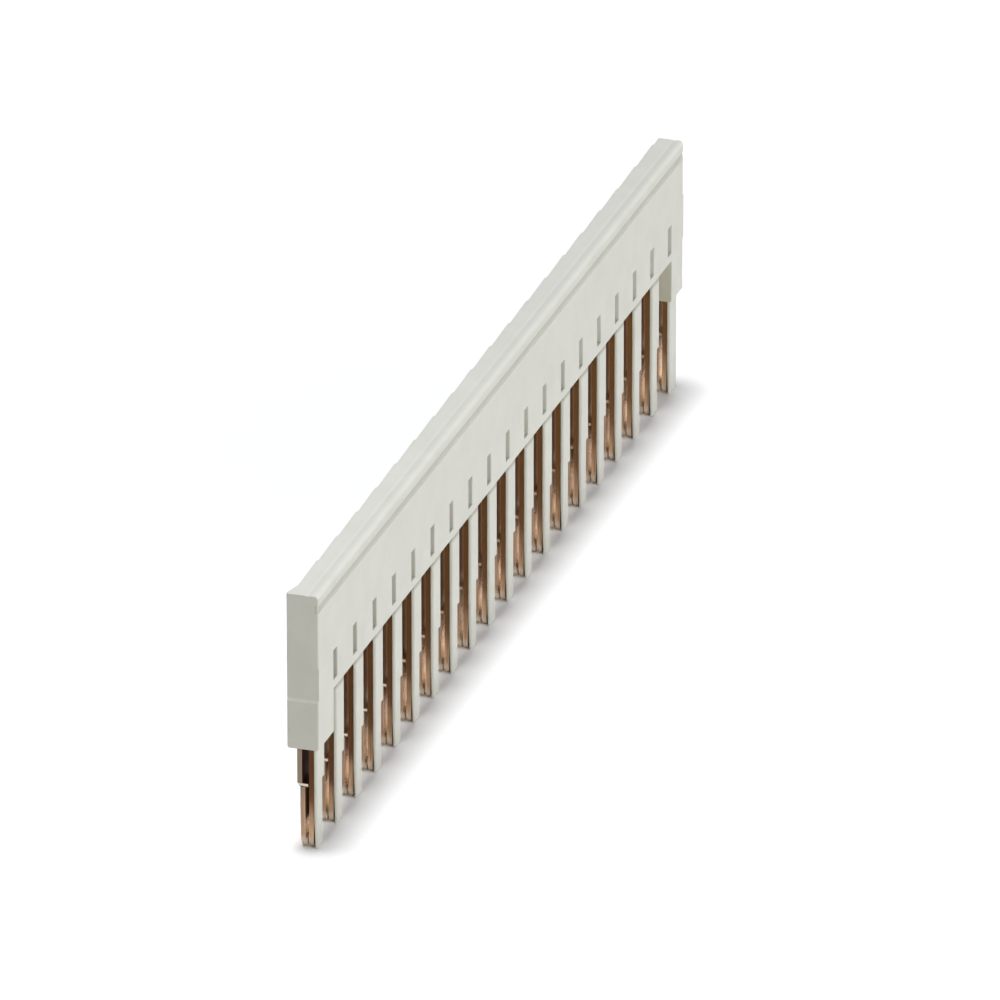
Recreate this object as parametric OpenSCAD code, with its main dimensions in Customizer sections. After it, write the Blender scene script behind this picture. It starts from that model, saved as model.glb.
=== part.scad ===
// Plug-in comb jumper: an insulating bar with a row of sprung copper legs
// that links neighbouring terminal blocks.
// X runs along the row of poles, the front face looks to -Y and the leg tips stand on Z = 0.

/* [Row of poles] */
// Number of poles
poles = 20; // [3:1:50]
// Distance from pole to pole
pitch = 5.2; // [4.6:0.1:8.2]
// From the first pole's centre to the near end face
near_margin = 1.9; // [1.7:0.1:2.3]
// From the last pole's centre to the far end face
far_margin = 1.6; // [1.5:0.1:2.2]

/* [Housing] */
// Thickness from front face to rear face
housing_t = 2.7; // [2.7:0.1:4]
// Height of the bar that carries the legs
bar_h = 9.8; // [8.4:0.1:14]
// How far the legs reach below the bar
leg_drop = 12.9; // [11.5:0.1:18]
// How far the two end blocks reach below the bar
block_drop = 3.8; // [1:0.1:5]
// Wall in front of the contact combs
front_wall = 0.7; // [0.69:0.01:0.8]
// Wall behind the contact combs
rear_wall = 0.52; // [0.35:0.01:0.6]
// Rounding of the long edge between top and front
top_round = 0.4; // [0.15:0.05:0.6]
// Rounding of the bar's lower long edges and of the other upright corners
edge_round = 0.14; // [0.05:0.01:0.25]
// Rounding of the upright front corner at the far end
far_round = 0.5; // [0.2:0.05:0.8]
// Rounding of the end blocks' lower edges
block_round = 0.22; // [0.1:0.01:0.4]

/* [Housing details] */
// Width of the slot between two poles
slot_w = 1.05; // [0.6:0.05:1.4]
// Height of that slot
slot_h = 2.6; // [2:0.1:4]
// How far that slot starts above the bar's lower edge
slot_lift = 0.8; // [0.2:0.1:1]
// Depth of that slot in the front face
slot_d = 0.5; // [0.2:0.05:0.55]
// Drop from the top to the groove along the front face
front_groove_drop = 1.15; // [1.05:0.05:2.5]
// Width of that groove
front_groove_w = 0.7; // [0.3:0.02:0.8]
// Depth of that groove
front_groove_d = 0.14; // [0.04:0.01:0.18]
// Distance from the front face to the groove along the top
top_groove_set = 0.9; // [0.85:0.05:1.4]
// Width of that groove
top_groove_w = 0.5; // [0.2:0.02:0.6]
// Depth of that groove
top_groove_d = 0.05; // [0.02:0.01:0.1]
// Reach of the saw-tooth step at every pole, from the rear face into the top's rear edge
step_set = 0.42; // [0.3:0.02:0.6]
// Reach left where the next step starts
step_fade = 0.28; // [0.1:0.02:0.4]
// Depth of the steps below the top
step_d = 0.8; // [0.4:0.1:1.2]
// How far the steps start from the near end face
step_lead = 0.3; // [0.2:0.1:1.2]
// Depth of the cut web's mark in the near end face
cut_mark_d = 0.12; // [0.05:0.01:0.2]
// How far that mark starts above the bar's lower edge
cut_mark_lift = 0.4; // [0:0.1:1]
// Height of the slope at that mark's foot
cut_mark_slope = 0.2; // [0.1:0.05:0.5]
// How far the web's stub stands proud of the far end face
stub_l = 0.3; // [0.1:0.05:0.6]
// Height of that stub
stub_h = 3.9; // [2:0.1:5]
// How far that stub starts above the bar's lower edge
stub_lift = 0.8; // [0:0.1:1]
// How far that stub is set in from the front and rear faces
stub_set = 0.14; // [0.05:0.01:0.4]

/* [Fins] */
// Width of a fin
fin_w = 2.05; // [1.8:0.05:2.4]
// How far a fin's front is set back from the front face
fin_set = 0.44; // [0.2:0.02:0.46]
// Thickness of a fin
fin_t = 0.24; // [0.18:0.02:0.26]
// Rounding of a fin's front corners
fin_round = 0.2; // [0.05:0.01:0.24]
// How far a fin's far side steps in along its lower part
fin_step = 0.55; // [0.1:0.05:0.8]
// Height of that step above the tips
fin_step_z = 5.8; // [4:0.1:7]
// How much a fin thins towards its tip
fin_thin = 0.08; // [0.02:0.01:0.1]
// How far a fin's root runs up inside the front wall
fin_root = 1; // [0.5:0.1:2]

/* [Contact combs] */
// Thickness of the copper strip
strip_t = 0.44; // [0.3:0.01:0.5]
// Height of the strip that links the legs
link_h = 5.5; // [3:0.1:6]
// How far that strip sits above the bar's lower edge
link_lift = 1; // [0.2:0.1:1.5]
// Clearance between the copper and its slot in the housing
comb_clear = 0.02; // [0.01:0.01:0.05]
// Width of a leg
leg_w = 1.95; // [1.4:0.05:2]
// Width of a rear leg below its shoulder
contact_w = 2.05; // [2:0.05:2.3]
// Width of a leg's blunt tip
tip_w = 1.4; // [1:0.05:1.6]
// Height over which the tip narrows
tip_h = 0.8; // [0.4:0.1:1.2]
// Height of the shoulder above the tips
shoulder_z = 5.4; // [4:0.1:6.5]
// Height of the ledge that the shoulder turns inwards
tab_h = 0.3; // [0.26:0.02:0.5]
// Gap left between that ledge and the front leaf
tab_gap = 0.04; // [0.02:0.01:0.1]
// Gap between the two leaves below the shoulder
leaf_gap = 0.29; // [0.2:0.01:0.35]
// Height below which the leaves lean together and the fins thin
lean_z = 2.6; // [1.6:0.1:3.2]
// How far each tip leans towards the other leaf
tip_lean = 0.06; // [0.02:0.01:0.09]

/* [Hidden] */
$fn = 48;

// Overlap that keeps a cut or a joined root clear of a shared face
over = 1;

row_l = (poles - 1) * pitch;
body_l = near_margin + row_l + far_margin;
total_l = body_l + stub_l;
bar_z = leg_drop;
total_h = bar_z + bar_h;

comb_l = row_l + leg_w;
link_z = bar_z + link_lift;
front_strip_y = front_wall + comb_clear;
rear_strip_y = housing_t - rear_wall - comb_clear - strip_t;

// Centre lines of the two leaves, as depth from the front face
front_y = front_strip_y + strip_t / 2;
rear_y = rear_strip_y + strip_t / 2;
rear_contact_y = front_y + strip_t + leaf_gap;
tip_z = strip_t / 2;
joggle_h = rear_y - rear_contact_y;

front_path = [
    [front_y, link_z + over],
    [front_y, lean_z],
    [front_y + tip_lean, tip_z],
];
rear_path = [
    [rear_y, link_z + over],
    [rear_y, shoulder_z + joggle_h],
    [rear_contact_y, shoulder_z],
    [rear_contact_y, lean_z],
    [rear_contact_y - tip_lean, tip_z],
];

function pole_x(i) = near_margin + i * pitch;

// Radius of a round groove from its width and depth
function groove_r(width, depth) = (width * width / 4 + depth * depth) / (2 * depth);

// Unit normal of the stretch of a path that starts at point i
function side_way(path, i) =
    let (step = path[i + 1] - path[i])
    [-step[1], step[0]] / norm(step);

// Direction that keeps a strip's thickness even at point i of its path
function mitre(path, i) =
    let (last = len(path) - 1)
    let (before = side_way(path, max(i - 1, 0)))
    let (after = side_way(path, min(i, last - 1)))
    (before + after) / (1 + before * after);

// Moves depth from the front face and distance from the near end into the part's frame
module in_part_frame()
    translate([-total_l / 2, -housing_t / 2, 0]) children();

// Extrudes a drawing of depth and height along the row
module along_row(length)
    rotate([90, 0, 90]) linear_extrude(length) children();

// Extrudes a drawing of distance and height through the thickness
module through_thickness()
    translate([0, housing_t + over, 0])
        rotate([90, 0, 0]) linear_extrude(housing_t + 2 * over) children();

// Rectangle whose four corners, anticlockwise from the origin, have their own radii
module rounded_rectangle(size, radii) {
    corners = [[0, 0], [size[0], 0], size, [0, size[1]]];
    ahead = [[1, 0], [0, 1], [-1, 0], [0, -1]];
    back = [for (i = [0 : 3]) -ahead[(i + 3) % 4]];
    intersection() {
        square(size);
        union() {
            polygon([
                for (i = [0 : 3])
                    each radii[i] > 0
                        ? [corners[i] + radii[i] * back[i], corners[i] + radii[i] * ahead[i]]
                        : [corners[i]]
            ]);
            for (i = [0 : 3])
                if (radii[i] > 0)
                    translate(corners[i] + radii[i] * (back[i] + ahead[i])) circle(r = radii[i]);
        }
    }
}

// Outline of the housing seen from above
module housing_plan()
    rounded_rectangle([body_l, housing_t], [edge_round, far_round, edge_round, edge_round]);

// Section of the bar
module bar_section()
    translate([0, bar_z])
        rounded_rectangle([housing_t, bar_h], [edge_round, edge_round, 0, top_round]);

// Section of an end block, run up into the bar
module block_section()
    translate([0, bar_z - block_drop])
        rounded_rectangle(
            [housing_t, block_drop + over],
            [edge_round, block_round, 0, 0]
        );

module bar_and_blocks()
    intersection() {
        linear_extrude(total_h) housing_plan();
        union() {
            along_row(body_l) bar_section();
            along_row(pole_x(0) + (pitch - slot_w) / 2) block_section();
            translate([pole_x(poles - 1) - (pitch - slot_w) / 2, 0, 0])
                along_row((pitch - slot_w) / 2 + far_margin) block_section();
        }
    }

// Room for a comb from one pole's leg to another's, between two heights
module comb_room(first, last, low_z, high_z)
    translate([pole_x(first) - leg_w / 2 - comb_clear, -strip_t / 2 - comb_clear, low_z])
        cube([
            (last - first) * pitch + leg_w + 2 * comb_clear,
            strip_t + 2 * comb_clear,
            high_z - low_z,
        ]);

// The slot that takes one comb, open below between the end blocks, with a pocket through each block
module comb_slot(strip_y)
    translate([0, strip_y + strip_t / 2, 0]) {
        comb_room(0, poles - 1, link_z - comb_clear, link_z + link_h + comb_clear);
        comb_room(1, poles - 2, bar_z - over, link_z + over);
        for (i = [0, poles - 1])
            comb_room(i, i, bar_z - block_drop - over, link_z + over);
    }

// The slots in the front face, half way between the poles
module pole_slots()
    for (i = [0 : poles - 2])
        translate([pole_x(i) + (pitch - slot_w) / 2, -over, bar_z + slot_lift])
            cube([slot_w, over + slot_d, slot_h]);

// The shallow round grooves along the front face and the top
module long_grooves() {
    front_r = groove_r(front_groove_w, front_groove_d);
    top_r = groove_r(top_groove_w, top_groove_d);
    translate([-over, 0, 0])
        along_row(body_l + 2 * over) {
            translate([front_groove_d - front_r, total_h - front_groove_drop]) circle(r = front_r);
            translate([top_groove_set, total_h - top_groove_d + top_r]) circle(r = top_r);
        }
}

// The saw-tooth steps in the rear edge of the top, one at every pole
module rear_steps()
    translate([0, housing_t, total_h - step_d])
        linear_extrude(step_d + over)
            polygon([
                [step_lead, over],
                [step_lead, 0],
                [pole_x(0), -step_set],
                for (i = [1 : poles - 1])
                    each [[pole_x(i), -step_fade], [pole_x(i), -step_set]],
                [pole_x(poles), -step_fade],
                [pole_x(poles), over],
            ]);

// The mark left in the near end face where the row was parted from the next one
module cut_mark()
    through_thickness()
        polygon([
            [-over, bar_z + cut_mark_lift],
            [0, bar_z + cut_mark_lift],
            [cut_mark_d, bar_z + cut_mark_lift + cut_mark_slope],
            [cut_mark_d, bar_z + slot_lift + slot_h],
            [-over, bar_z + slot_lift + slot_h],
        ]);

// The stub left on the far end face where the row was parted
module web_stub()
    translate([body_l - over, stub_set, bar_z + stub_lift])
        cube([over + stub_l, housing_t - 2 * stub_set, stub_h]);

// One fin, with a step on its far side when another pole follows
module fin(stepped) {
    low_w = fin_w - (stepped ? fin_step : 0);
    translate([-fin_w / 2, fin_set, 0])
        linear_extrude(fin_step_z + over)
            rounded_rectangle([low_w, fin_t], [fin_round, fin_round, 0, 0]);
    translate([-fin_w / 2, fin_set, fin_step_z])
        linear_extrude(bar_z + fin_root - fin_step_z)
            rounded_rectangle([fin_w, fin_t], [fin_round, fin_round, 0, 0]);
}

// The row of fins, thinned from behind towards the tips
module fins()
    difference() {
        for (i = [0 : poles - 1])
            translate([pole_x(i), 0, 0]) fin(i < poles - 1);
        along_row(body_l)
            polygon([
                [fin_set + fin_t + over, lean_z],
                [fin_set + fin_t, lean_z],
                [fin_set + fin_t - fin_thin, 0],
                [fin_set + fin_t - fin_thin, -over],
                [fin_set + fin_t + over, -over],
            ]);
    }

// Side view of one leaf: an even strip along its path with a round tip
module leaf_section(path) {
    half = strip_t / 2;
    last = len(path) - 1;
    polygon(concat(
        [for (i = [0 : last]) path[i] + half * mitre(path, i)],
        [for (i = [last : -1 : 0]) path[i] - half * mitre(path, i)]
    ));
    translate(path[last]) circle(r = half);
}

// Front view of one leg, with a blunt tip and a wider contact below the shoulder
module leg_outline(low_w)
    polygon([
        [-leg_w / 2, link_z + over], [-leg_w / 2, shoulder_z],
        [-low_w / 2, shoulder_z], [-low_w / 2, tip_h],
        [-tip_w / 2, 0], [tip_w / 2, 0],
        [low_w / 2, tip_h], [low_w / 2, shoulder_z],
        [leg_w / 2, shoulder_z], [leg_w / 2, link_z + over],
    ]);

// A comb: the linking strip with one bent leg per pole
module contact_comb(strip_y, path, low_w) {
    translate([pole_x(0) - leg_w / 2, strip_y, link_z])
        cube([comb_l, strip_t, link_h]);
    for (i = [0 : poles - 1])
        translate([pole_x(i), 0, 0])
            intersection() {
                through_thickness() leg_outline(low_w);
                translate([-pitch / 2, 0, 0]) along_row(pitch) leaf_section(path);
            }
}

// The flat ledge at the rear leg's shoulder, turned inwards until it nearly meets the front leaf
module shoulder_tab() {
    tab_y = front_y + strip_t / 2 + tab_gap;
    translate([-contact_w / 2, tab_y, shoulder_z + joggle_h - tab_h])
        cube([contact_w, rear_y - tab_y, tab_h]);
}

module housing()
    color([0.80, 0.81, 0.78])
        in_part_frame() {
            difference() {
                union() {
                    bar_and_blocks();
                    web_stub();
                }
                comb_slot(front_strip_y);
                comb_slot(rear_strip_y);
                pole_slots();
                long_grooves();
                rear_steps();
                cut_mark();
            }
            fins();
        }

module front_contact_comb()
    color([0.72, 0.45, 0.30])
        in_part_frame() contact_comb(front_strip_y, front_path, leg_w);

module rear_contact_comb()
    color([0.66, 0.41, 0.27])
        in_part_frame() {
            contact_comb(rear_strip_y, rear_path, contact_w);
            for (i = [0 : poles - 1])
                translate([pole_x(i), 0, 0]) shoulder_tab();
        }

housing();
front_contact_comb();
rear_contact_comb();
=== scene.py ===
# Comb jumper for terminal blocks, standing on its legs on a white table
import math

import bmesh
import bpy
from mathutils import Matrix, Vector


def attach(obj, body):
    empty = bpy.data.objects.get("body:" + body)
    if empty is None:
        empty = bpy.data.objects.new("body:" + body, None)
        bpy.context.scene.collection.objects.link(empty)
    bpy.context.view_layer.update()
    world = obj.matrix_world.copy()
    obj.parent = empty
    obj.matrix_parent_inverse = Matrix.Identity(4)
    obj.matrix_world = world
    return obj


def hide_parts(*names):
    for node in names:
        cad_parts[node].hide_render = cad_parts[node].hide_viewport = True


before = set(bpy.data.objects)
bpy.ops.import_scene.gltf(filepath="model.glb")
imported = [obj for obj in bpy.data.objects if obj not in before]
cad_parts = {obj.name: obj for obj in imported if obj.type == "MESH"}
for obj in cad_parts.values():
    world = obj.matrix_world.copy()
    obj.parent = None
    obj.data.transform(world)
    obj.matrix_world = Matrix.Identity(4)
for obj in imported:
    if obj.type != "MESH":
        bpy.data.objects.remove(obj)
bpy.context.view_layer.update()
mm = 0.001
print("frame loaded")


# small helpers for objects and node trees

noiseMiddle = (0.3, 0.7)              # nearly all of a noise lies between these


def addObject(name, data):
    made = bpy.data.objects.new(name, data)
    bpy.context.scene.collection.objects.link(made)
    return made


def addNode(tree, kind, **settings):
    node = tree.nodes.new(kind)
    for key, value in settings.items():
        setattr(node, key, value)
    return node


def setInput(tree, node, socket, value):
    if isinstance(value, bpy.types.NodeSocket):
        tree.links.new(value, node.inputs[socket])
    else:
        node.inputs[socket].default_value = value


def mathNode(tree, operation, result, *others):
    for other in others:
        node = addNode(tree, "ShaderNodeMath", operation=operation)
        setInput(tree, node, 0, result)
        setInput(tree, node, 1, other)
        result = node.outputs[0]
    return result


def spread(tree, value, low, high, fromLow=0.0, fromHigh=1.0, smooth=False):
    node = addNode(tree, "ShaderNodeMapRange", clamp=True)
    if smooth:
        node.interpolation_type = "SMOOTHSTEP"
    setInput(tree, node, "Value", value)
    setInput(tree, node, "From Min", fromLow)
    setInput(tree, node, "From Max", fromHigh)
    setInput(tree, node, "To Min", low)
    setInput(tree, node, "To Max", high)
    return node.outputs["Result"]


def coordinates(tree, kind="Object"):
    split = addNode(tree, "ShaderNodeSeparateXYZ")
    setInput(tree, split, 0, addNode(tree, "ShaderNodeTexCoord").outputs[kind])
    return split.outputs


def within(tree, place, region):
    edges = []
    for axis, (comesIn, goesOut) in region.items():
        if comesIn:
            edges.append(spread(tree, place[axis], 0, 1, *comesIn))
        if goesOut:
            edges.append(spread(tree, place[axis], 1, 0, *goesOut))
    return mathNode(tree, "MULTIPLY", *edges)


def noise(tree, scale, detail, stretch=None):
    place = addNode(tree, "ShaderNodeTexCoord").outputs["Object"]
    if stretch:
        mapping = addNode(tree, "ShaderNodeMapping")
        setInput(tree, mapping, "Vector", place)
        setInput(tree, mapping, "Scale", stretch)
        place = mapping.outputs["Vector"]
    node = addNode(tree, "ShaderNodeTexNoise")
    setInput(tree, node, "Vector", place)
    setInput(tree, node, "Scale", scale)
    setInput(tree, node, "Detail", detail)
    return node.outputs["Fac"]


def mixColour(tree, factor, first, second, blend="MIX"):
    node = addNode(tree, "ShaderNodeMix", data_type="RGBA", blend_type=blend)
    setInput(tree, node, 0, factor)
    setInput(tree, node, 6, first)          # the colour sockets, by their places
    setInput(tree, node, 7, second)
    return node.outputs[2]


def bump(tree, height, strength, distance):
    node = addNode(tree, "ShaderNodeBump")
    setInput(tree, node, "Height", height)
    setInput(tree, node, "Strength", strength)
    setInput(tree, node, "Distance", distance)
    return node.outputs["Normal"]


def newMaterial(name):
    material = bpy.data.materials.new(name)
    material.use_nodes = True
    return material, material.node_tree, material.node_tree.nodes["Principled BSDF"]


# camera where the photographer stood, almost along the row

cameraValues = {
    "turn": 17.36,                    # from the row towards the front face, degrees
    "lift": 23.38,                    # above the table, degrees
    "distance": 1.327,
    "lens": 571.4,
    "sensor": 36,
    "target": (0.0, 0.00015, 0.01135),
    "slide": (0.00077, -0.00136),     # to the right and up in the picture
}


def makeCamera(values):
    turn, lift = math.radians(values["turn"]), math.radians(values["lift"])
    right = Vector((math.sin(turn), -math.cos(turn), 0))
    ahead = Vector((math.cos(turn) * math.cos(lift), math.sin(turn) * math.cos(lift), -math.sin(lift)))
    up = right.cross(ahead)
    target = Vector(values["target"]) + right * values["slide"][0] + up * values["slide"][1]
    data = bpy.data.cameras.new("photoCamera")
    data.lens = values["lens"]
    data.sensor_width = values["sensor"]
    camera = addObject("photoCamera", data)
    camera.location = target - ahead * values["distance"]
    camera.rotation_euler = ahead.to_track_quat("-Z", "Y").to_euler()
    bpy.context.scene.camera = camera


makeCamera(cameraValues)
print("camera set")


# white table, softbox overhead that leans from behind, wide low fill in front, glow over the near end

lightValues = {
    "overhead": 2.05,
    "overheadTilt": (-3.6, 0, 0),
    "overheadSpread": 12.5,
    "nearGlow": 0.011,
    "nearGlowPlace": (-0.05, 0.015, 0.1),
    "nearGlowSize": 0.05,
    "nearTint": (1.0, 0.97, 0.88, 1),         # warm room beyond the near end
    "farTint": (1, 1, 1, 1),
    "ambient": 0.12,
    "frontFill": 3.4,
    "fillFalls": 2.0,                         # how fast the fill fades with height
    "backdrop": (1, 1, 1, 1),
    "tableSeen": (1.09, 1.10, 1.13, 1),       # table white in the picture and in reflections
    "tableBounce": (0.87, 0.855, 0.79, 1),
    "tableHalf": 3.0,
    "tableHeight": -0.00001,
}


def makeSoftbox(values):
    data = bpy.data.lights.new("overheadSoftbox", "SUN")
    data.energy = values["overhead"]
    data.angle = math.radians(values["overheadSpread"])
    lamp = addObject("overheadSoftbox", data)
    lamp.rotation_euler = [math.radians(angle) for angle in values["overheadTilt"]]


def makeGlow(values):
    data = bpy.data.lights.new("nearGlow", "AREA")
    data.shape = "DISK"
    data.size = values["nearGlowSize"]
    data.energy = values["nearGlow"]
    lamp = addObject("nearGlow", data)
    lamp.location = values["nearGlowPlace"]


def seenOrLit(tree, lit, seen, outputKind):
    path = addNode(tree, "ShaderNodeLightPath").outputs
    direct = mathNode(tree, "MAXIMUM", path["Is Camera Ray"], path["Is Glossy Ray"],
                      path["Is Transmission Ray"])
    mix = addNode(tree, "ShaderNodeMixShader")
    setInput(tree, mix, 0, direct)
    setInput(tree, mix, 1, lit.outputs[0])
    setInput(tree, mix, 2, seen.outputs[0])
    setInput(tree, addNode(tree, outputKind), "Surface", mix.outputs[0])


def makeWorld(values):
    world = bpy.data.worlds.new("studio")
    bpy.context.scene.world = world
    world.use_nodes = True
    tree = world.node_tree
    tree.nodes.clear()
    way = coordinates(tree, "Generated")
    fromFront = spread(tree, way["Y"], 1, 0, -1, 0)
    fromNear = spread(tree, way["X"], 1, 0, -1, 0)
    low = mathNode(tree, "POWER", spread(tree, way["Z"], 1, 0), values["fillFalls"])
    fill = mathNode(tree, "MULTIPLY", fromFront, low, values["frontFill"])
    dim = addNode(tree, "ShaderNodeBackground")
    setInput(tree, dim, "Color", mixColour(tree, fromNear, values["farTint"], values["nearTint"]))
    setInput(tree, dim, "Strength", mathNode(tree, "ADD", fill, values["ambient"]))
    white = addNode(tree, "ShaderNodeBackground")
    setInput(tree, white, "Color", values["backdrop"])
    seenOrLit(tree, dim, white, "ShaderNodeOutputWorld")


def makeTable(values):
    mesh = bpy.data.meshes.new("table")
    half, height = values["tableHalf"], values["tableHeight"]
    corners = [(-half, -half, height), (half, -half, height), (half, half, height), (-half, half, height)]
    mesh.from_pydata(corners, [], [(0, 1, 2, 3)])
    table = addObject("table", mesh)
    material = bpy.data.materials.new("tableWhite")
    material.use_nodes = True
    tree = material.node_tree
    tree.nodes.clear()
    bounce = addNode(tree, "ShaderNodeBsdfDiffuse")
    setInput(tree, bounce, "Color", values["tableBounce"])
    seen = addNode(tree, "ShaderNodeBsdfDiffuse")
    setInput(tree, seen, "Color", values["tableSeen"])
    seenOrLit(tree, bounce, seen, "ShaderNodeOutputMaterial")
    mesh.materials.append(material)


makeWorld(lightValues)
makeTable(lightValues)
makeSoftbox(lightValues)
makeGlow(lightValues)
bpy.context.scene.view_settings.view_transform = "Standard"
print("table and lights set")


# light grey moulding with a fine satin skin
# a tint's region comes in over the first span of an axis and goes out over the second, in metres

plasticValues = {
    "pale": (0.635, 0.642, 0.605, 1),
    "deep": (0.600, 0.607, 0.570, 1),
    "cloudScale": 420,
    "cloudDetail": 3,
    "grainScale": 9000,
    "grainDetail": 2,
    "grainStrength": 0.10,
    "grainDepth": 0.00002,
    "roughness": (0.44, 0.56),
    "ior": 1.47,
    # painted shade for the slots, the fin roots under the bar and the front groove
    "plasticShade": (0.40, 0.39, 0.34, 1),
    "slots": {                                # painted shade in the slots starts just behind the front face
        "X": ((-0.0475, -0.0473), None),
        "Y": ((-0.00131, -0.00122), (-0.0009, -0.0007)),
        "Z": ((0.0136, 0.0139), (0.0165, 0.0166)),
    },
    "slotShade": 0.38,
    "slotFade": (-0.045, 0.03),               # along the row
    "finRoots": {                             # painted shade on the fins just below the bar
        "X": ((-0.0475, -0.0473), (0.0464, 0.0466)),
        "Y": ((-0.0011, -0.0010), (-0.0007, -0.0006)),
        "Z": ((0.01185, 0.01215), (0.0128, 0.0129)),
    },
    "rootShade": 0.95,
    "groove": {                               # a little painted shade along the front groove
        "Y": ((-0.00128, -0.00121), (-0.00110, -0.00105)),
        "Z": ((0.0212, 0.0213), (0.0218, 0.0219)),
    },
    "grooveShade": 0.6,
    "cutFoot": {                              # painted highlight on the slope at the foot of the parted web
        "X": (None, (-0.05112, -0.05108)),
        "Z": ((0.01324, 0.01328), (0.01352, 0.01356)),
    },
    "cutFootHighlight": (0.86, 0.84, 0.78, 1),
    "cutHighlightShare": 0.3,
    "farBlock": {                             # painted warm light on the inner face of the far block beside the copper
        "X": ((0.0471, 0.0472), (0.0474, 0.0476)),
        "Y": ((-0.0013, -0.0012), None),
        "Z": (None, (0.0128, 0.0129)),
    },
    "blockWarmLight": (1.0, 0.98, 0.88, 1),
}


# how much painted shade lies in the slots, on the fins under the bar and along the front groove
def paintedShadeShare(tree, values, place):
    slotShare = spread(tree, place["X"], values["slotShade"], 0, *values["slotFade"])
    inSlot = mathNode(tree, "MULTIPLY", within(tree, place, values["slots"]), slotShare)
    atRoot = mathNode(tree, "MULTIPLY", within(tree, place, values["finRoots"]), values["rootShade"])
    inGroove = mathNode(tree, "MULTIPLY", within(tree, place, values["groove"]), values["grooveShade"])
    return mathNode(tree, "MAXIMUM", inSlot, atRoot, inGroove)


def housingPlastic(values):
    material, tree, shader = newMaterial("housingPlastic")
    place = coordinates(tree)
    cloud = noise(tree, values["cloudScale"], values["cloudDetail"])
    grain = noise(tree, values["grainScale"], values["grainDetail"])
    colour = mixColour(tree, spread(tree, cloud, 0, 1, *noiseMiddle), values["deep"], values["pale"])
    # painted highlight on the slope at the foot of the parted web
    litFoot = mathNode(tree, "MULTIPLY", within(tree, place, values["cutFoot"]), values["cutHighlightShare"])
    colour = mixColour(tree, litFoot, colour, values["cutFootHighlight"])
    # painted warm light on the far block's inner face
    warmLitBlock = within(tree, place, values["farBlock"])
    colour = mixColour(tree, warmLitBlock, colour, values["blockWarmLight"], "MULTIPLY")
    # mix in the painted shade
    colour = mixColour(tree, paintedShadeShare(tree, values, place), colour, values["plasticShade"])
    setInput(tree, shader, "Base Color", colour)
    setInput(tree, shader, "Roughness", spread(tree, grain, *values["roughness"], *noiseMiddle))
    setInput(tree, shader, "Normal", bump(tree, grain, values["grainStrength"], values["grainDepth"]))
    setInput(tree, shader, "IOR", values["ior"])
    return material


# rolled copper alloy: rubbed bright near the tips, with painted light on the tip ends, brown above from age
# and painted shade under the bar, with duller sheared edges
# heights and places in metres; where a tint has a share, that is the most that it covers

copperValues = {
    "bright": (0.95, 0.78, 0.62, 1),
    "brown": (0.50, 0.28, 0.17, 1),
    # brown film higher up: partly age, partly painted shade under the bar
    "agedAndShaded": (0.34, 0.18, 0.08, 1),
    "agedAndShadedFrom": (0.0010, 0.0072),
    "agedAndShadedWander": 0.0008,
    "rubbedTo": (0.0016, 0.0030),
    "rubbedKeeps": 0.3,                       # tarnish and scratches left where it is rubbed
    "tarnishScale": 350,
    "tarnishDetail": 4,
    "tarnishSpan": (0.42, 0.72),
    "tarnishShare": 0.45,
    "streaks": (16000, 16000, 900),
    "streakDetail": 2,
    "streakStrength": 0.12,
    "streakDepth": 0.00001,
    "scratchSpan": (0.35, 0.75),
    "scratchShare": 0.30,
    "roughness": (0.09, 0.18),
    "sideFacing": (0.55, 0.9),                # a sheared edge looks along the row
    "shearStreaks": (3000, 7000, 260),
    "shearDetail": 3,
    "shearSpan": (0.45, 0.66),
    "shearShare": 0.75,
    "shearRoughness": 0.48,
    "rowSpan": (-0.04, 0.04),
    # painted shade: near black under the bar and at the tip undersides
    "paintedShade": (0.04, 0.022, 0.014, 1),
    "underBarShadeShare": 0.85,
    # pale tips, partly wear and partly painted light on the downward nose; also the painted light in the
    # gap near the tips
    "wornAndLit": (0.95, 0.86, 0.74, 1),
    "wornAndLitTip": (0.0004, 0.0012),
    "wornAndLitShare": 0.5,
    # painted shade on the tip undersides
    "tipShade": (0.00002, 0.00024),
    "tipShadeShare": 0.5,
    "gap": {"Y": ((-0.0004, -0.0003), (0.0004, 0.00046))},
    # painted light in the gap near the tips
    "tipGapLight": (0.0005, 0.0010),
    "firstLeg": (-0.0478, -0.0472),           # painted shade: the first leg is dark between its leaves
    "firstGap": (0.0019, 0.0028),
    "firstShare": 0.95,
    "firstGapShade": (0.15, 0.05, 0.015, 1),
    "firstGapDeepShade": (0.045, 0.012, 0.004, 1),
    "firstShoulder": (0.0050, 0.0058),        # painted shade, darker still above the shoulder
    "filmMetal": 0.12,
    "filmGloss": 0.03,
    "filmRoughness": 0.6,
    "metalGloss": 0.5,
    # painted highlight on the ledge at the shoulder
    "ledge": (0.93, 0.84, 0.74, 1),
    "ledgeFar": (0.50, 0.36, 0.24, 1),
    "ledgeFades": (-0.036, -0.012),           # along the row
}
frontShear = {
    "low": (0.58, 0.385, 0.24, 1),
    "high": (0.14, 0.062, 0.026, 1),
    "highFar": (0.205, 0.098, 0.036, 1),      # browner towards the far end of the row
    "streak": (0.36, 0.20, 0.11, 1),
    "agedAndShadedFrom": (0.0004, 0.0046),
    "underBarShadeFrom": (0.0108, 0.0127),
    "ledge": None,
}
rearShear = {
    "low": (0.43, 0.295, 0.20, 1),
    "high": (0.34, 0.27, 0.215, 1),
    "highFar": (0.34, 0.27, 0.215, 1),
    "streak": (0.24, 0.15, 0.10, 1),
    "agedAndShadedFrom": (0.0044, 0.0056),
    "underBarShadeFrom": (0.0083, 0.0092),
    "ledge": {"Z": ((0.00544, 0.00547), (0.00563, 0.00566))},
}


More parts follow.
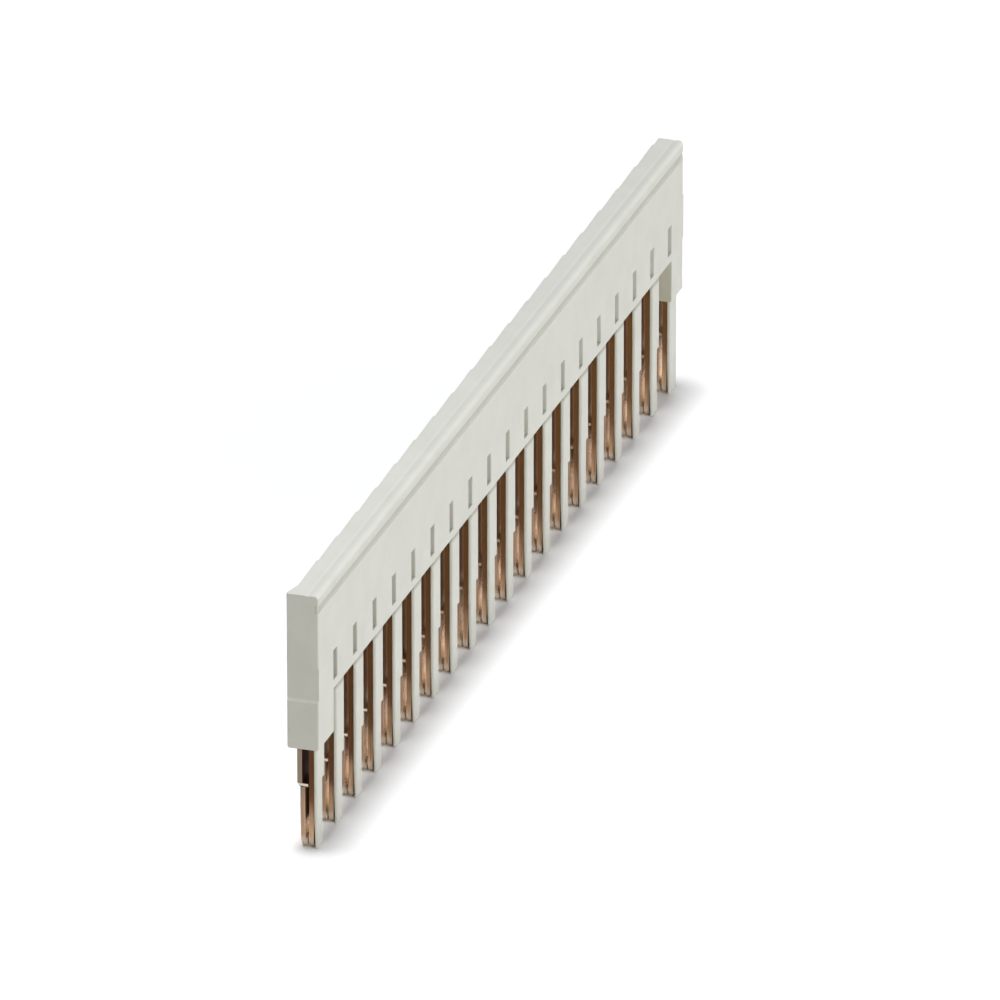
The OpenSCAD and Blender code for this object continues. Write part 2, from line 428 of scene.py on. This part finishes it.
def rolledColour(tree, values, place, streak, blotch):
    rubbed = spread(tree, place["Z"], values["rubbedKeeps"], 1, *values["rubbedTo"])
    tarnish = spread(tree, blotch, 0, values["tarnishShare"], *values["tarnishSpan"])
    scratch = spread(tree, streak, 0, values["scratchShare"], *values["scratchSpan"])
    colour = values["bright"]
    for mark in (tarnish, scratch):
        colour = mixColour(tree, mathNode(tree, "MULTIPLY", mark, rubbed), colour, values["brown"])
    return colour


def shearedColour(tree, values, shear, place, height):
    lines = noise(tree, 1.0, values["shearDetail"], values["shearStreaks"])
    lines = spread(tree, lines, 0, values["shearShare"], *values["shearSpan"])
    colour = mixColour(tree, lines, shear["low"], shear["streak"])
    farther = spread(tree, place["X"], 0, 1, *values["rowSpan"])
    high = mixColour(tree, farther, shear["high"], shear["highFar"])
    colour = mixColour(tree, spread(tree, height, 0, 1, *shear["agedAndShadedFrom"], True), colour, high)
    # painted shade at the top of the legs, under the bar
    paintedShade = spread(tree, place["Z"], 0, values["underBarShadeShare"], *shear["underBarShadeFrom"], True)
    return mixColour(tree, paintedShade, colour, values["paintedShade"])


def tipWearLightAndShade(tree, values, place, colour):
    # pale tips: partly wear, partly painted light
    wornAndLit = spread(tree, place["Z"], values["wornAndLitShare"], 0, *values["wornAndLitTip"], True)
    colour = mixColour(tree, wornAndLit, colour, values["wornAndLit"])
    # painted shade on the tip undersides
    shade = spread(tree, place["Z"], values["tipShadeShare"], 0, *values["tipShade"])
    return mixColour(tree, shade, colour, values["paintedShade"])


def firstLegGap(tree, values, place, inGap):
    onFirst = spread(tree, place["X"], 1, 0, *values["firstLeg"])
    upper = spread(tree, place["Z"], 0, values["firstShare"], *values["firstGap"])
    aboveShoulder = spread(tree, place["Z"], 0, 1, *values["firstShoulder"])
    colour = mixColour(tree, aboveShoulder, values["firstGapShade"], values["firstGapDeepShade"])
    return mathNode(tree, "MULTIPLY", onFirst, upper, inGap), colour


def contactCopper(name, values, shear):
    material, tree, shader = newMaterial(name)
    place = coordinates(tree)
    facing = mathNode(tree, "ABSOLUTE", coordinates(tree, "Normal")["X"], 0)
    side = spread(tree, facing, 0, 1, *values["sideFacing"], True)
    streak = noise(tree, 1.0, values["streakDetail"], values["streaks"])
    blotch = noise(tree, values["tarnishScale"], values["tarnishDetail"])
    wander = spread(tree, blotch, -values["agedAndShadedWander"], values["agedAndShadedWander"], *noiseMiddle)
    height = mathNode(tree, "ADD", place["Z"], wander)
    # brown film higher up: partly age, partly painted shade under the bar
    agedAndShaded = spread(tree, height, 0, 1, *values["agedAndShadedFrom"], True)
    rolled = mixColour(tree, agedAndShaded, rolledColour(tree, values, place, streak, blotch), values["agedAndShaded"])
    colour = mixColour(tree, side, rolled, shearedColour(tree, values, shear, place, height))
    colour = tipWearLightAndShade(tree, values, place, colour)

    # faces that look into the gap between the two leaves
    inGap = mathNode(tree, "MULTIPLY", within(tree, place, values["gap"]), spread(tree, side, 1, 0))
    # painted shade in the first leg's gap
    firstGap, firstColour = firstLegGap(tree, values, place, inGap)
    colour = mixColour(tree, firstGap, colour, firstColour)
    # painted light: pale colour in the gap near the tips
    tipGapLight = mathNode(tree, "MULTIPLY", spread(tree, place["Z"], 1, 0, *values["tipGapLight"]), inGap)
    colour = mixColour(tree, tipGapLight, colour, values["wornAndLit"])

    # painted highlight on the ledge at the shoulder, dimmer farther along the row
    if shear["ledge"]:
        onLedgeHighlight = mathNode(tree, "MULTIPLY", within(tree, place, shear["ledge"]), side)
        farther = spread(tree, place["X"], 0, 1, *values["ledgeFades"])
        colour = mixColour(tree, onLedgeHighlight, colour,
                           mixColour(tree, farther, values["ledge"], values["ledgeFar"]))

    # a dull film lies on the aged, shaded metal and under the painted colours in the gap
    film = mathNode(tree, "MAXIMUM", agedAndShaded, firstGap, tipGapLight)
    shine = spread(tree, streak, *values["roughness"], *noiseMiddle)
    shine = mathNode(tree, "MAXIMUM", shine, spread(tree, film, 0, values["filmRoughness"]))
    setInput(tree, shader, "Base Color", colour)
    setInput(tree, shader, "Metallic", spread(tree, film, 1, values["filmMetal"]))
    setInput(tree, shader, "Specular IOR Level",
             spread(tree, film, values["metalGloss"], values["filmGloss"]))
    setInput(tree, shader, "Roughness", spread(tree, side, shine, values["shearRoughness"]))
    setInput(tree, shader, "Normal", bump(tree, streak, values["streakStrength"], values["streakDepth"]))
    return material


plastic = housingPlastic(plasticValues)
frontCopper = contactCopper("frontCopper", copperValues, frontShear)
rearCopper = contactCopper("rearCopper", copperValues, rearShear)
print("finishes made")


# shading that all pieces share

def shadeByAngle(work, sharpFrom):
    for face in work.faces:
        face.smooth = True
    for edge in work.edges:
        edge.smooth = edge.calc_face_angle(0) < math.radians(sharpFrom)


def addPiece(name, mesh, flatWeight=80):
    piece = addObject(name, mesh)
    even = piece.modifiers.new("evenShading", "WEIGHTED_NORMAL")
    even.keep_sharp = True
    even.weight = flatWeight
    return piece


# housing: the moulded form with smooth roundings and soft rims round the slots

housingValues = {
    "finish": plastic,
    "mergeWithin": 0.0002,            # lengths in mm, angles in degrees
    "flatWithin": 0.6,
    "rimSoft": 0.06,
    "rimSteps": 3,
    "rimHeights": (13.6, 16.4),       # the slots lie between these
    "rimDepth": -1.349,               # their rims lie in front of this
    "sharpFrom": 24,
}


def makeHousing(values):
    work = bmesh.new()
    work.from_mesh(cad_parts["housing"].data)
    bmesh.ops.remove_doubles(work, verts=work.verts, dist=values["mergeWithin"] * mm)
    bmesh.ops.dissolve_limit(work, angle_limit=math.radians(values["flatWithin"]),
                             verts=work.verts, edges=work.edges)
    low, high = [height * mm for height in values["rimHeights"]]
    front = values["rimDepth"] * mm
    sharp = math.radians(values["sharpFrom"])
    rims = [edge for edge in work.edges if edge.calc_face_angle(0) > sharp
            and all(low < vert.co.z < high and vert.co.y < front for vert in edge.verts)]
    bmesh.ops.bevel(work, geom=rims, offset=values["rimSoft"] * mm, offset_type="OFFSET",
                    segments=values["rimSteps"], profile=0.5, affect="EDGES")
    bmesh.ops.triangulate(work, faces=[face for face in work.faces if len(face.verts) > 4])
    shadeByAngle(work, values["sharpFrom"])
    mesh = bpy.data.meshes.new("mouldedHousing")
    work.to_mesh(mesh)
    work.free()
    mesh.materials.append(values["finish"])
    piece = addPiece("mouldedHousing", mesh)
    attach(piece, "root")
    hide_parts("housing")
    print("housing made,", len(mesh.polygons), "faces")


makeHousing(housingValues)


# copper combs: one bent leg each, repeated along the row by a node tree

combValues = {
    "poles": 20,
    "pitch": 5.2,                     # lengths in mm, angles in degrees
    "frontFace": -1.35,
    "sheet": 0.44,
    "edgeRound": 0.05,
    "edgeShare": 0.9,                 # of half the sheet, where that gets thin
    "cornerSteps": 3,
    "bendSteps": 7,
    "ringGap": 0.6,
    "sharpFrom": 33,
    "upperWidth": 1.95,
    "tipWidth": 1.4,
    "tipHeight": 0.8,
    "noseSteps": 5,
    "noseTurn": 17.5,
    "shoulderZ": 5.4,
    "ledgeSteps": [(-0.03, 0), (0, 0.2), (0.02, 0.8), (0.06, 1)],     # way along, share of the widening
    "stripLow": 13.9,
    "stripHigh": 19.4,
    "stripThinner": 0.01,
    "stripRound": 0.05,
    "tabDepths": (1.20, 1.94),
    "tabHeights": (5.37, 5.67),
    "tabRound": 0.04,
    "blockSteps": 2,
}
frontLeaf = {
    "name": "frontContacts",
    "node": "front_contact_comb",
    "lowerWidth": 1.95,
    "path": [(0.94, 14.4), (0.94, 2.6), (1.0, 0.22)],        # depth and height
    "bends": [0, 1.0, 0],
    "stripDepth": 0.94,
    "finish": frontCopper,
}
rearLeaf = {
    "name": "rearContacts",
    "node": "rear_contact_comb",
    "lowerWidth": 2.05,
    "path": [(1.94, 14.4), (1.94, 5.67), (1.67, 5.4), (1.67, 2.6), (1.61, 0.22)],
    "bends": [0, 0.04, 0.04, 1.0, 0],
    "stripDepth": 1.94,
    "finish": rearCopper,
}


def smoothPath(leaf, values):
    corners = [Vector(point) for point in leaf["path"]]
    steps = values["bendSteps"]
    line = [corners[0]]
    for before, here, after, bend in zip(corners, corners[1:], corners[2:], leaf["bends"][1:]):
        start = here + (before - here).normalized() * bend
        end = here + (after - here).normalized() * bend
        for k in range(steps + 1):
            t = k / steps
            line.append(start * (1 - t) ** 2 + here * 2 * t * (1 - t) + end * t ** 2)
    line.append(corners[-1])
    fine = [line[0]]
    for a, b in zip(line, line[1:]):
        parts = max(1, math.ceil((b - a).length / values["ringGap"]))
        fine += [a.lerp(b, k / parts) for k in range(1, parts + 1)]
    return fine


def legWidth(z, leaf, values):
    if z > values["shoulderZ"]:
        return values["upperWidth"]
    taper = min(1.0, max(0.0, z / values["tipHeight"]))
    widening = leaf["lowerWidth"] - values["tipWidth"]
    return values["tipWidth"] + widening * math.sin(taper * math.pi / 2)


def hasLedge(leaf, values):
    return leaf["lowerWidth"] > values["upperWidth"]


def legStations(leaf, values):
    path = smoothPath(leaf, values)
    sheet, upper = values["sheet"], values["upperWidth"]
    stations = []
    for i, point in enumerate(path):
        along = (path[min(i + 1, len(path) - 1)] - path[max(i - 1, 0)]).normalized()
        stations.append((point, along, legWidth(point.y, leaf, values), sheet))
    if hasLedge(leaf, values):                          # square ledge at the shoulder
        at = next(i for i, station in enumerate(stations) if station[0].y <= values["shoulderZ"])
        point, along, width, thick = stations[at]
        stations[at:at + 1] = [(point + along * step, along, upper + (width - upper) * share, thick)
                               for step, share in values["ledgeSteps"]]
    end, along = stations[-1][:2]
    for k in range(1, values["noseSteps"] + 1):         # round nose
        angle = math.radians(values["noseTurn"] * k)
        spot = end + along * sheet / 2 * math.sin(angle)
        stations.append((spot, along, legWidth(spot.y, leaf, values), sheet * math.cos(angle)))
    return stations


def ringPoints(width, thick, values):
    soft = min(values["edgeRound"], thick / 2 * values["edgeShare"])
    points = []
    for cornerX, cornerN, turn in ((1, 1, 0), (-1, 1, 90), (-1, -1, 180), (1, -1, 270)):
        for k in range(values["cornerSteps"] + 1):
            angle = math.radians(turn + 90 / values["cornerSteps"] * k)
            points.append((cornerX * (width / 2 - soft) + soft * math.cos(angle),
                           cornerN * (thick / 2 - soft) + soft * math.sin(angle)))
    return points


def addBlock(work, spanX, spanDepth, spanZ, soft, values):
    block = bmesh.ops.create_cube(work, size=1.0)["verts"]
    for vert in block:
        vert.co = Vector((spanX[vert.co.x > 0] * mm,
                          (values["frontFace"] + spanDepth[vert.co.y > 0]) * mm,
                          spanZ[vert.co.z > 0] * mm))
    edges = list({edge for vert in block for edge in vert.link_edges})
    bmesh.ops.bevel(work, geom=edges, offset=soft * mm, offset_type="OFFSET",
                    segments=values["blockSteps"], profile=0.5, affect="EDGES")


def legMesh(leaf, values):
    work = bmesh.new()
    rings = []
    for point, along, width, thick in legStations(leaf, values):
        normal = Vector((-along.y, along.x))            # towards the rear
        ring = []
        for x, n in ringPoints(width, thick, values):
            spot = point + normal * n
            ring.append(work.verts.new((x * mm, (values["frontFace"] + spot.x) * mm, spot.y * mm)))
        rings.append(ring)
    for a, b in zip(rings, rings[1:]):
        for k in range(len(a)):
            work.faces.new((a[k], a[k - 1], b[k - 1], b[k]))
    work.faces.new(rings[0])
    work.faces.new(reversed(rings[-1]))
    if hasLedge(leaf, values):
        half = leaf["lowerWidth"] / 2
        addBlock(work, (-half, half), values["tabDepths"], values["tabHeights"], values["tabRound"], values)
    bmesh.ops.recalc_face_normals(work, faces=work.faces)
    shadeByAngle(work, values["sharpFrom"])
    mesh = bpy.data.meshes.new(leaf["name"] + "OneLeg")
    work.to_mesh(mesh)
    work.free()
    return mesh


def poleRowTree():
    tree = bpy.data.node_groups.new("poleRow", "GeometryNodeTree")
    inputs = {"Leg": "Geometry", "Poles": "Int", "Pitch": "Float",
              "First pole": "Float", "Finish": "Material"}
    for name, kind in inputs.items():
        tree.interface.new_socket(name=name, in_out="INPUT", socket_type="NodeSocket" + kind)
    tree.interface.new_socket(name="Row", in_out="OUTPUT", socket_type="NodeSocketGeometry")
    source = addNode(tree, "NodeGroupInput").outputs
    start = addNode(tree, "ShaderNodeCombineXYZ")
    step = addNode(tree, "ShaderNodeCombineXYZ")
    line = addNode(tree, "GeometryNodeMeshLine", mode="OFFSET")
    legs = addNode(tree, "GeometryNodeInstanceOnPoints")
    solid = addNode(tree, "GeometryNodeRealizeInstances")
    paint = addNode(tree, "GeometryNodeSetMaterial")
    setInput(tree, start, "X", source["First pole"])
    setInput(tree, step, "X", source["Pitch"])
    setInput(tree, line, "Count", source["Poles"])
    setInput(tree, line, "Start Location", start.outputs[0])
    setInput(tree, line, "Offset", step.outputs[0])
    setInput(tree, legs, "Points", line.outputs["Mesh"])
    setInput(tree, legs, "Instance", source["Leg"])
    setInput(tree, solid, "Geometry", legs.outputs["Instances"])
    setInput(tree, paint, "Geometry", solid.outputs["Geometry"])
    setInput(tree, paint, "Material", source["Finish"])
    setInput(tree, addNode(tree, "NodeGroupOutput"), "Row", paint.outputs["Geometry"])
    return tree


def halfRow(values):
    return (values["poles"] - 1) * values["pitch"] / 2


def rowOfLegs(leaf, values, tree):
    single = addObject(leaf["name"] + "Leg", legMesh(leaf, values))
    row = single.modifiers.new("poleRow", "NODES")
    row.node_group = tree
    chosen = {"Poles": values["poles"], "Pitch": values["pitch"] * mm,
              "First pole": -halfRow(values) * mm, "Finish": leaf["finish"]}
    for item in tree.interface.items_tree:
        if item.in_out == "INPUT" and item.name in chosen:
            row[item.identifier] = chosen[item.name]
    ready = single.evaluated_get(bpy.context.evaluated_depsgraph_get())
    mesh = bpy.data.meshes.new_from_object(ready)
    single.modifiers.remove(row)
    bpy.data.objects.remove(single)
    return mesh


def makeComb(leaf, values, tree):
    mesh = rowOfLegs(leaf, values, tree)
    work = bmesh.new()
    work.from_mesh(mesh)
    end = halfRow(values) + values["upperWidth"] / 2
    thin = values["sheet"] / 2 - values["stripThinner"]
    addBlock(work, (-end, end), (leaf["stripDepth"] - thin, leaf["stripDepth"] + thin),
             (values["stripLow"], values["stripHigh"]), values["stripRound"], values)
    for face in work.faces:
        face.smooth = True
    work.to_mesh(mesh)
    work.free()
    mesh.name = leaf["name"]
    piece = addPiece(leaf["name"], mesh)
    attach(piece, "root")
    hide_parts(leaf["node"])
    print(leaf["name"], "made,", len(mesh.polygons), "faces")


rowTree = poleRowTree()
makeComb(frontLeaf, combValues, rowTree)
makeComb(rearLeaf, combValues, rowTree)
